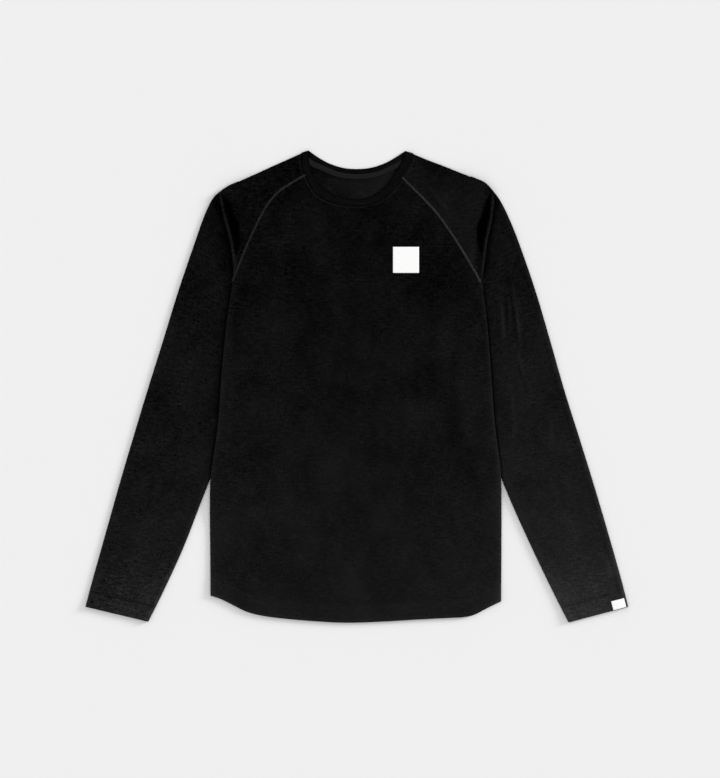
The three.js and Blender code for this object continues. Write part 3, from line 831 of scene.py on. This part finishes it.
def tube_grid(side):
    """The sleeve below the shoulder: a flat tube, round its two folds, open at the cuff."""
    rows = np.array(sleeve_sections[side])
    vs = np.r_[steps(140, 0, 0.945), steps(34, 0.947, 1)]
    fold, seam = line(rows[:, :2], vs), line(rows[:, 2:], vs)
    from_cuff = (1 - vs) * PANEL_LENGTH / TUBE_LENGTH
    stitched = int(np.argmin(np.abs(from_cuff - HEM_DEPTH)))
    mouth = CUFF_LIFT * smooth(1 - (1 - vs) / CUFF_MOUTH)[:, None]
    us = np.r_[steps(8, 0, 0.12), steps(40, 0.137, 0.863), steps(8, 0.88, 1)][None, :, None]
    across = fold - seam
    width = np.linalg.norm(across, axis=1)[:, None, None]
    radius = (TUBE_TOP - CLOTH / 2) / 2
    inset = (radius + CLOTH / 2) / width
    plan = seam[:, None] + across[:, None] * (inset + (1 - 2 * inset) * us)
    x, y = plan[..., 0], plan[..., 1]
    from_fold = np.minimum(us, 1 - us)[..., 0] * width[..., 0]
    bead = FOLD_BEAD * bell(from_fold - FOLD_BEAD_PLACE, FOLD_BEAD_WIDTH)
    turn = turned_edge(from_cuff)[:, None]
    top = with_height(plan, TUBE_TOP + mouth + bead + turn + creases(x, y, tube_creases[side]))
    low = with_height(plan[:, ::-1], np.full(x.shape, CLOTH / 2))
    out = across / np.linalg.norm(across, axis=1)[:, None]
    turns = np.radians([30, 60, 90, 120, 150])

    def bend(upper, lower, direction):
        middle, reach = (upper + lower) / 2, (upper[:, 2:] - lower[:, 2:]) / 2
        return [
            middle + np.c_[direction * radius * math.sin(t), reach * math.cos(t)] for t in turns
        ]

    outer = bend(top[:, -1], low[:, 0], out)
    inner = bend(low[:, -1], top[:, 0], -out)
    grid = np.concatenate([top, np.stack(outer, 1), low, np.stack(inner, 1)], axis=1)
    around = np.linalg.norm(np.diff(grid, axis=1, append=grid[:, :1]), axis=2)
    along = np.linalg.norm(np.diff((fold + seam) / 2, axis=0, prepend=(fold + seam)[:1] / 2), axis=1)
    uv = cloth_map(np.cumsum(around, axis=1) - around, np.cumsum(along)[:, None])
    rows_sewn = [top[stitched] + [0, 0, TOP_THREAD], low[stitched] + [0, 0, LOW_THREAD]]
    return grid, uv, rows_sewn


sleeves, cuff_rows = {}, {}
for side in ("left", "right"):
    upper = cap_grid(
        side, front_neck_seam, FRONT_ROWS[side], front_raglan[side],
        front_cap_height(side), cap_creases[side],
    )
    for edge in ("left", "near"):
        upper = pull_in(upper, edge, SEAM_PULL)
    upper = rolled(upper, "right", SHOULDER_ROLL)
    upper = rolled(upper, "far", RIDGE_FOLD, sweep=180, tail=PLEAT_TAIL)
    lower = cap_grid(
        side, back_neck_seam, BACK_ROWS[side], back_raglan[side], back_cap_height(side), []
    )
    for edge in ("left", "near", "far"):
        lower = pull_in(lower, edge, SEAM_PULL)
    lower = rolled(lower, "right", SHOULDER_ROLL, up=True)
    tube, tube_uv, cuff_rows[side] = tube_grid(side)
    sleeves[side] = finish_piece(
        f"sleeve_{side}_cloth",
        [
            cloth_mesh("upper", upper, upper[..., :2]),
            cloth_mesh("lower", lower, lower[..., :2]),
            cloth_mesh("tube", tube, tube_uv, ring=True),
        ],
        knit, f"sleeve_{side}", depth=sleeve_depth(side),
    )

# Neckband.
# The real band is a doubled strip of the same knit, a little denser, sewn round the neck with its
# fold at the open edge. The front lies over the back and both turn over at the shoulders.

BAND_HALF = 0.8
BAND_CLOTH_TOP = 1.7
BAND_FRONT = 2.7
BAND_TIP = {"left": (-72, 354.4), "right": (71.3, 353.6)}
front_neck_edge = [
    BAND_TIP["left"], (-72.6, 340), (-66.5, 318), (-53, 302), (-30, 286.5), (0, 281.7),
    (24, 287.6), (43, 302), (56, 320.5), (67.5, 339), BAND_TIP["right"],
]
back_neck_edge = [
    BAND_TIP["left"], (-57, 344), (-41, 335.4), (-21, 329.1), (0, 327.3), (21, 329.3),
    (41, 335.7), (57, 344.2), BAND_TIP["right"],
]
band_vs = steps(120)
BAND_TURNS = np.radians([45, 90, 135])
BAND_INSET = 0.75
BAND_CROWN = 0.25
BAND_WIDTH = 11
OPEN_EDGE_SHADE = 0.85
OPEN_EDGE_WIDTH = 1.2


def band_strip(edge_rows, seam_rows, height):
    open_edge, seam = line(edge_rows, band_vs), line(seam_rows, band_vs)
    us = steps(5)[None, :, None]
    across = seam - open_edge
    inset = BAND_INSET / np.linalg.norm(across, axis=1)[:, None, None]
    plan = open_edge[:, None] + across[:, None] * (inset + (1 - 2 * inset) * us)
    crown = BAND_CROWN * np.sin(math.pi * us[..., 0]) * np.ones((len(band_vs), 1))
    return with_height(plan, height + crown)


front_strip = band_strip(front_neck_edge, front_neck_seam, BAND_FRONT)
back_strip = band_strip(back_neck_edge, back_neck_seam, BAND_HALF)[::-1]
turn_radius = (BAND_FRONT - BAND_HALF) / 2


def band_turn(upper, lower, sign):
    """Rows round the fold at one shoulder, from the front strip's end to the back strip's."""
    middle, reach = (upper + lower) / 2, (upper - lower) / 2
    return [
        middle + reach * math.cos(t) + np.array([sign * turn_radius * 0.5, 0, 0]) * math.sin(t)
        for t in BAND_TURNS
    ]


band_rows = np.concatenate([
    front_strip, np.array(band_turn(front_strip[-1], back_strip[0], 1)),
    back_strip, np.array(band_turn(front_strip[0], back_strip[-1], -1))[::-1],
], axis=0)
band_grid = np.swapaxes(band_rows, 0, 1)[:, ::-1]
band_run = np.cumsum(np.linalg.norm(np.diff(band_grid, axis=1, append=band_grid[:, :1]), axis=2), axis=1)
band_uv = cloth_map(band_run, steps(5)[:, None] * BAND_WIDTH)
band_knit = knit_material("band jersey", tone=1.52, wale=0.0009, flecked=0.45)


def band_depth(x, y, z):
    """Painted shade along the open edge of the front, where it lies over the back."""
    shade = bell(distance_to(front_neck_edge, x, y)[0], OPEN_EDGE_WIDTH)
    return OPEN_EDGE_SHADE * shade * (z > BAND_CLOTH_TOP)


band = finish_piece(
    "neckband_cloth", [cloth_mesh("band", band_grid, band_uv, thickness=2 * BAND_HALF - 0.1, ring=True)],
    band_knit, "neckband", depth=band_depth,
)

# Neck tape.
# The real tape is a soft woven strip, about 7 mm wide, sewn over the back neck seam on the
# inside so that its overlocked edges don't rub. Its ends go under the front of the band.

TAPE_WIDTH = 7
# Where its ends meet the band, by share of the back neck seam, at its low and high edge.
TAPE_FROM = (0.1195, 0.0745)
TAPE_TO = (0.8038, 0.8895)
TAPE_CLOTH = 0.8
TAPE_HEIGHT = 2.15
TAPE_CROWN = 0.12
tape_us = steps(6, -0.5, 0.5)
tape_vs = steps(90)


def beside(plan, distance):
    """A line moved sideways in plan, to its left."""
    ahead = np.gradient(plan, axis=0)
    ahead /= np.linalg.norm(ahead, axis=1)[:, None]
    return plan + np.c_[-ahead[:, 1], ahead[:, 0]] * distance


tape_rows = []
for u in tape_us:
    first, last = np.interp(u, [-0.5, 0.5], TAPE_FROM), np.interp(u, [-0.5, 0.5], TAPE_TO)
    middle = line(back_neck_seam, first + (last - first) * tape_vs)
    tape_rows.append(beside(middle, u * TAPE_WIDTH))
tape_plan = np.stack(tape_rows)
tape_crown = TAPE_CROWN * np.cos(math.pi * tape_us)[:, None] * np.ones(len(tape_vs))
tape_grid = with_height(tape_plan, TAPE_HEIGHT + tape_crown)
tape_run = np.cumsum(np.linalg.norm(np.diff(tape_plan[3], axis=0, prepend=tape_plan[3][:1]), axis=1))
tape_uv = cloth_map(tape_run, (tape_us * TAPE_WIDTH)[:, None])


def woven_material(name, colour, pitch, depth, roughness, wear_and_cuff_light):
    """A plain weave on the piece's own cloth map, with a few uneven threads."""
    material, shade = new_material(name)
    uv = shade.node("ShaderNodeUVMap", {"uv_map": "cloth"})
    across, along = uv.split()
    warp = across.math("SINE", across * (2 * math.pi / pitch), 0.0)
    weft = along.math("SINE", along * (2 * math.pi / pitch), 0.0)
    thread = uv.node("ShaderNodeTexNoise", {"noise_dimensions": "2D"}, {
        "Vector": uv.node("ShaderNodeMapping", inputs={0: uv, "Scale": (300, 1800, 1)}),
        "Scale": 1.0, "Detail": 2.0, "Roughness": 0.6,
    })
    weave = warp * weft * 0.5 + thread * 0.8
    bump = weave.node("ShaderNodeBump", inputs={"Strength": 0.6, "Distance": depth, "Height": weave})
    tone = 1 - wear_and_cuff_light + (thread - 0.5) * (wear_and_cuff_light * 2) + warp * weft * (wear_and_cuff_light * 0.5)
    surface(shade, {
        "Base Color": dyed(tone, colour), "Roughness": roughness, "Specular IOR Level": 0.1,
        "Normal": bump,
    })
    return material


tape_weave = woven_material(
    "tape weave", (0.0100, 0.0100, 0.0105), pitch=0.0008, depth=0.00012, roughness=0.8, wear_and_cuff_light=0.3
)
tape = finish_piece(
    "neck_tape_cloth", [cloth_mesh("tape", tape_grid, tape_uv, thickness=TAPE_CLOTH)],
    tape_weave, "neck_tape",
)

# Chest patch and cuff tab.
# The real patch is a 39 mm square of white woven label, fixed flat on the chest. The tab is a small
# white label folded over the outer end of one cuff. Both are bare here.

PATCH_SIZE = 39
TRIM_CLOTH = 0.7
TRIM_GAP = 0.15
patch_steps = steps(20, -0.5, 0.5) * (PATCH_SIZE - TRIM_CLOTH)
patch_x, patch_y = np.meshgrid(PATCH_CENTRE[0] + patch_steps, PATCH_CENTRE[1] + patch_steps)
patch_height = LAYER_STEP + CLOTH + TRIM_GAP + TRIM_CLOTH / 2 + front_rise(patch_x, patch_y)
patch_height = patch_height + FRONT_SLACK + np.maximum(creases(patch_x, patch_y, front_creases), 0)
patch_grid = np.stack([patch_x, patch_y, patch_height], axis=-1)
white_weave = woven_material(
    "white label", (0.93, 0.93, 0.925), pitch=0.0006, depth=0.00005, roughness=0.75, wear_and_cuff_light=0.02
)
chest_patch = finish_piece(
    "chest_patch_cloth", [cloth_mesh("patch", patch_grid, patch_grid[..., :2], thickness=TRIM_CLOTH)],
    white_weave, "chest_patch",
)

TAB_LENGTH = 19.1
TAB_WIDTH = 13
TAB_FROM_CUFF = 0.6
TAB_FROM_EDGE = 3.6
TAB_BOW = 0.25
cuff = np.array(sleeve_sections["right"][-1])
along_cuff = (cuff[2:] - cuff[:2]) / np.linalg.norm(cuff[2:] - cuff[:2])
up_sleeve = np.array([along_cuff[1], -along_cuff[0]])
tab_plan = (
    cuff[:2] + along_cuff * (TAB_FROM_EDGE + steps(16) * TAB_LENGTH)[None, :, None]
    + up_sleeve * (TAB_FROM_CUFF + steps(10) * TAB_WIDTH)[:, None, None]
)
tab_height = TUBE_TOP + CLOTH / 2 + CUFF_LIFT + HEM_EXTRA + TRIM_GAP + TRIM_CLOTH / 2
tab_u, tab_v = np.meshgrid(steps(16), steps(10))
tab_grid = with_height(tab_plan, tab_height + TAB_BOW * np.sin(math.pi * tab_u) * (1 - 0.5 * tab_v))
tab_uv = cloth_map(tab_u * TAB_LENGTH, tab_v * TAB_WIDTH)
cuff_tab = finish_piece(
    "cuff_tab_cloth", [cloth_mesh("tab", tab_grid, tab_uv, thickness=TRIM_CLOTH)],
    white_weave, "cuff_tab",
)

# Stitches.
# The raglan seams are flat seams under a cover stitch: two needle rows with looper thread laced
# between them, in grey thread. Hem, cuffs and neck have two plain rows in black thread.

THREAD_RADIUS = 0.00018
COVER_SPACING = 0.0024
COVER_WIDTH = 0.0023
BACK_THREAD_HEIGHT = 0.3
ROW_SPACING = 0.0028
ROW_WIDTH = 0.0032
NECK_ROW_WIDTH = 0.0014
NECK_ROW_FROM_SEAM = 3.0
FRONT_THREAD_HEIGHT = 0.16
BACK_SEAM_PLACE = 1.3
# How far toward the sleeve a front seam's threads are centred, by share of its length from the neck.
SEAM_SHARES = (0, 0.12, 0.35, 0.65, 0.8, 1)
SEAM_PLACES = {"left": (-1.2, -0.4, 0.3, 0.1, 0, 0.6), "right": (-1.6, -1.1, 0.1, 0.77, -0.5, -2.2)}


def stitch_tree():
    """Threads along a line: two needle rows, and looper thread between them where it is asked for."""
    tree = bpy.data.node_groups.new("stitches", "GeometryNodeTree")
    face = tree.interface
    face.new_socket("Line", in_out="INPUT", socket_type="NodeSocketGeometry")
    for name in ("Spacing", "Width", "Thread radius"):
        face.new_socket(name, in_out="INPUT", socket_type="NodeSocketFloat")
    face.new_socket("Looper", in_out="INPUT", socket_type="NodeSocketBool")
    face.new_socket("Thread", in_out="INPUT", socket_type="NodeSocketMaterial")
    face.new_socket("Stitches", in_out="OUTPUT", socket_type="NodeSocketGeometry")
    shade = Shade(tree)
    given = tree.nodes.new("NodeGroupInput")
    value = {socket.name: Shade(tree, socket) for socket in given.outputs if socket.name}
    spacing, width, radius = value["Spacing"], value["Width"], value["Thread radius"]

    def point(x, y, z):
        return shade.node("ShaderNodeCombineXYZ", inputs={0: x, 1: y, 2: z})

    ring = shade.node("GeometryNodeCurvePrimitiveCircle", inputs={"Resolution": 5, "Radius": radius})

    def thread(start, middle, end):
        bow = shade.node("GeometryNodeCurveQuadraticBezier", inputs={
            "Resolution": 3, "Start": start, "Middle": middle, "End": end,
        })
        return shade.node("GeometryNodeCurveToMesh", inputs={
            "Curve": bow, "Profile Curve": ring, "Fill Caps": True,
        })

    def join(parts):
        joined = tree.nodes.new("GeometryNodeJoinGeometry")
        for part in parts:
            tree.links.new(part.socket, joined.inputs[0])
        return Shade(tree, joined.outputs[0])

    half, side = spacing * 0.43, width * 0.5
    rows = [
        thread(point(0 - half, off, 0 - radius), point(0.0, off, radius * 2), point(half, off, 0 - radius))
        for off in (side, 0 - side)
    ]
    low, top = 0 - side, radius * 2.4
    laced = [
        thread(
            point(0 - spacing * 0.5, low, 0.0), point(0 - spacing * 0.25, 0.0, top), point(0.0, side, 0.0)
        ),
        thread(point(0.0, side, 0.0), point(spacing * 0.25, 0.0, top), point(spacing * 0.5, low, 0.0)),
    ]
    loops = shade.node("GeometryNodeSwitch", {"input_type": "GEOMETRY"}, {
        "Switch": value["Looper"], "True": join(laced),
    })
    unit = join([*rows, loops])
    path = shade.node("GeometryNodeMeshToCurve", inputs={0: value["Line"]})
    path = shade.node("GeometryNodeResampleCurve", {"mode": "LENGTH"}, {"Curve": path, "Length": spacing})
    turn = shade.node("FunctionNodeAxesToRotation", {"primary_axis": "Z", "secondary_axis": "X"}, {
        0: (0, 0, 1), 1: shade.node("GeometryNodeInputTangent"),
    })
    uneven = shade.node(
        "FunctionNodeRandomValue", {"data_type": "FLOAT"}, {2: 0.92, 3: 1.08, "Seed": 7}, out=1
    )
    placed = shade.node("GeometryNodeInstanceOnPoints", inputs={
        "Points": path, "Instance": unit, "Rotation": turn, "Scale": point(uneven, uneven, uneven),
    })
    real = shade.node("GeometryNodeRealizeInstances", inputs={0: placed})
    spun = shade.node("GeometryNodeSetMaterial", inputs={"Geometry": real, "Material": value["Thread"]})
    result = tree.nodes.new("NodeGroupOutput")
    tree.links.new(spun.socket, result.inputs[0])
    return tree


stitches = stitch_tree()


def sew(name, lines, spacing, width, looper, thread):
    """One piece of stitches along lines of points in millimetres."""
    points = np.vstack(lines).copy()
    points[:, :2] += shift
    edges, start = [], 0
    for row in lines:
        edges += [(k, k + 1) for k in range(start, start + len(row) - 1)]
        start += len(row)
    mesh = bpy.data.meshes.new(name)
    mesh.from_pydata((points * MM).tolist(), edges, [])
    guide = bpy.data.objects.new(name, mesh)
    bpy.context.collection.objects.link(guide)
    modifier = guide.modifiers.new("stitches", "NODES")
    modifier.node_group = stitches
    given = {
        "Spacing": spacing, "Width": width, "Thread radius": THREAD_RADIUS,
        "Looper": looper, "Thread": thread,
    }
    for item in stitches.interface.items_tree:
        if item.name in given:
            modifier[item.identifier] = given[item.name]
    scene = bpy.context.evaluated_depsgraph_get()
    sewn = bpy.data.meshes.new_from_object(guide.evaluated_get(scene))
    guide.modifiers.clear()
    guide.data = sewn
    bpy.data.meshes.remove(mesh)
    sewn.shade_smooth()
    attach(guide, "root")
    return guide


def thread_material(name, colour, lit=0.0):
    """Spun thread, with soft light and dark turns of its strands, and painted light: paler toward the lit
    side.
    """
    material, shade = new_material(name)
    place = shade.node("ShaderNodeTexCoord", out=3)
    x = place.node("ShaderNodeSeparateXYZ", inputs={0: place})
    strands = shade.node("ShaderNodeTexNoise", inputs={"Vector": place, "Scale": 2200.0, "Detail": 1.0})
    tone = (0.7 + strands * 0.6) * (1 + x * lit)
    surface(shade, {
        "Base Color": dyed(tone, colour), "Roughness": 0.6, "Specular IOR Level": 0.25,
    })
    return material


def on_front(plan):
    """Points on top of the front layer."""
    return np.c_[plan, front_rise(plan[:, 0], plan[:, 1]) + LAYER_STEP + CLOTH + FRONT_THREAD_HEIGHT]


grey_thread = thread_material("grey thread", (0.043, 0.043, 0.0445), lit=2.5)
black_thread = thread_material("black thread", (0.006, 0.006, 0.0064))
neck_thread = thread_material("neck thread", (0.0052, 0.0052, 0.0055))
seam_run = steps(120, 0.004, 0.985)
back_run = steps(120, 0.12, 0.985)


def cover_stitch(name, seam):
    return sew(name, [seam], COVER_SPACING, COVER_WIDTH, True, grey_thread)


def plain_rows(name, lines):
    return sew(name, lines, ROW_SPACING, ROW_WIDTH, False, black_thread)


for side, sign in SIDES:
    seam_place = np.interp(seam_run, SEAM_SHARES, SEAM_PLACES[side])[:, None]
    front_line = on_front(beside(even_line(front_raglan[side], seam_run), seam_place * sign))
    cover_stitch(f"raglan_stitches_{side}", front_line)
    back_line = beside(even_line(back_raglan[side], back_run), BACK_SEAM_PLACE * sign)
    back_line = np.c_[back_line, back_rise(back_line[:, 0], back_line[:, 1]) + BACK_THREAD_HEIGHT]
    cover_stitch(f"back_raglan_stitches_{side}", back_line)
    side + " back"

hem_row = int(np.argmin(np.abs(1 - panel_vs - HEM_DEPTH)))
hem_stitches = plain_rows("hem_stitches", [front_edge[hem_row, 1:-1] + [0, 0, TOP_THREAD]])
hem_stitches_back = plain_rows("back_hem_stitches", [back_edge[hem_row, 1:-1] + [0, 0, LOW_THREAD]])
cuff_stitches = {side: plain_rows(f"cuff_stitches_{side}", cuff_rows[side]) for side in ("left", "right")}
neck_line = on_front(beside(line(front_neck_seam, steps(160, 0.03, 0.97)), -NECK_ROW_FROM_SEAM))
neck_stitches = sew("neck_stitches", [neck_line], ROW_SPACING, NECK_ROW_WIDTH, False, neck_thread)

# Floor, light and camera.
# The top lies on a plain pale surface, under one broad soft light from the viewer's upper right,
# and is looked at from straight above through a long lens.

FLOOR_SIZE = 30.0
FLOOR_DROP = 0.0004
SENSOR = 36
WORLD_LIGHT = 0.832
KEY_LIGHT = 2.75
KEY_SPREAD = math.radians(16)
KEY_TURN = math.radians(24)
KEY_HEIGHT = math.radians(15)
VIEW_HEIGHT_MM = 1167.0
LENS = 100.0
VIEW_CENTRE = (4.5, -2.6)

floor_mesh = bpy.data.meshes.new("floor")
edge = FLOOR_SIZE / 2
floor_mesh.from_pydata(
    [(x * edge, y * edge, -FLOOR_DROP) for x, y in ((-1, -1), (1, -1), (1, 1), (-1, 1))],
    [], [(0, 1, 2, 3)],
)
floor = bpy.data.objects.new("floor", floor_mesh)
bpy.context.collection.objects.link(floor)
paper, shade = new_material("pale paper")
surface(shade, {"Base Color": (0.82, 0.82, 0.82, 1), "Roughness": 0.9, "Specular IOR Level": 0.1})
floor_mesh.materials.append(paper)

world = bpy.data.worlds.new("studio")
bpy.context.scene.world = world
world.use_nodes = True
sky = world.node_tree.nodes["Background"].inputs
sky["Color"].default_value = (1, 1, 1, 1)
sky["Strength"].default_value = WORLD_LIGHT

key = bpy.data.lights.new("window", "SUN")
key.energy = KEY_LIGHT
key.angle = KEY_SPREAD
window = bpy.data.objects.new("window", key)
window.rotation_euler = (0, math.pi / 2 - KEY_HEIGHT, KEY_TURN)
bpy.context.collection.objects.link(window)

lens = bpy.data.cameras.new("camera")
lens.lens = LENS
lens.sensor_width = SENSOR
lens.clip_end = 20
camera = bpy.data.objects.new("camera", lens)
camera.location = (
    (VIEW_CENTRE[0] + shift[0]) * MM, (VIEW_CENTRE[1] + shift[1]) * MM,
    VIEW_HEIGHT_MM * MM * LENS / SENSOR,
)
bpy.context.collection.objects.link(camera)
bpy.context.scene.camera = camera
bpy.context.scene.view_settings.view_transform = "Standard"
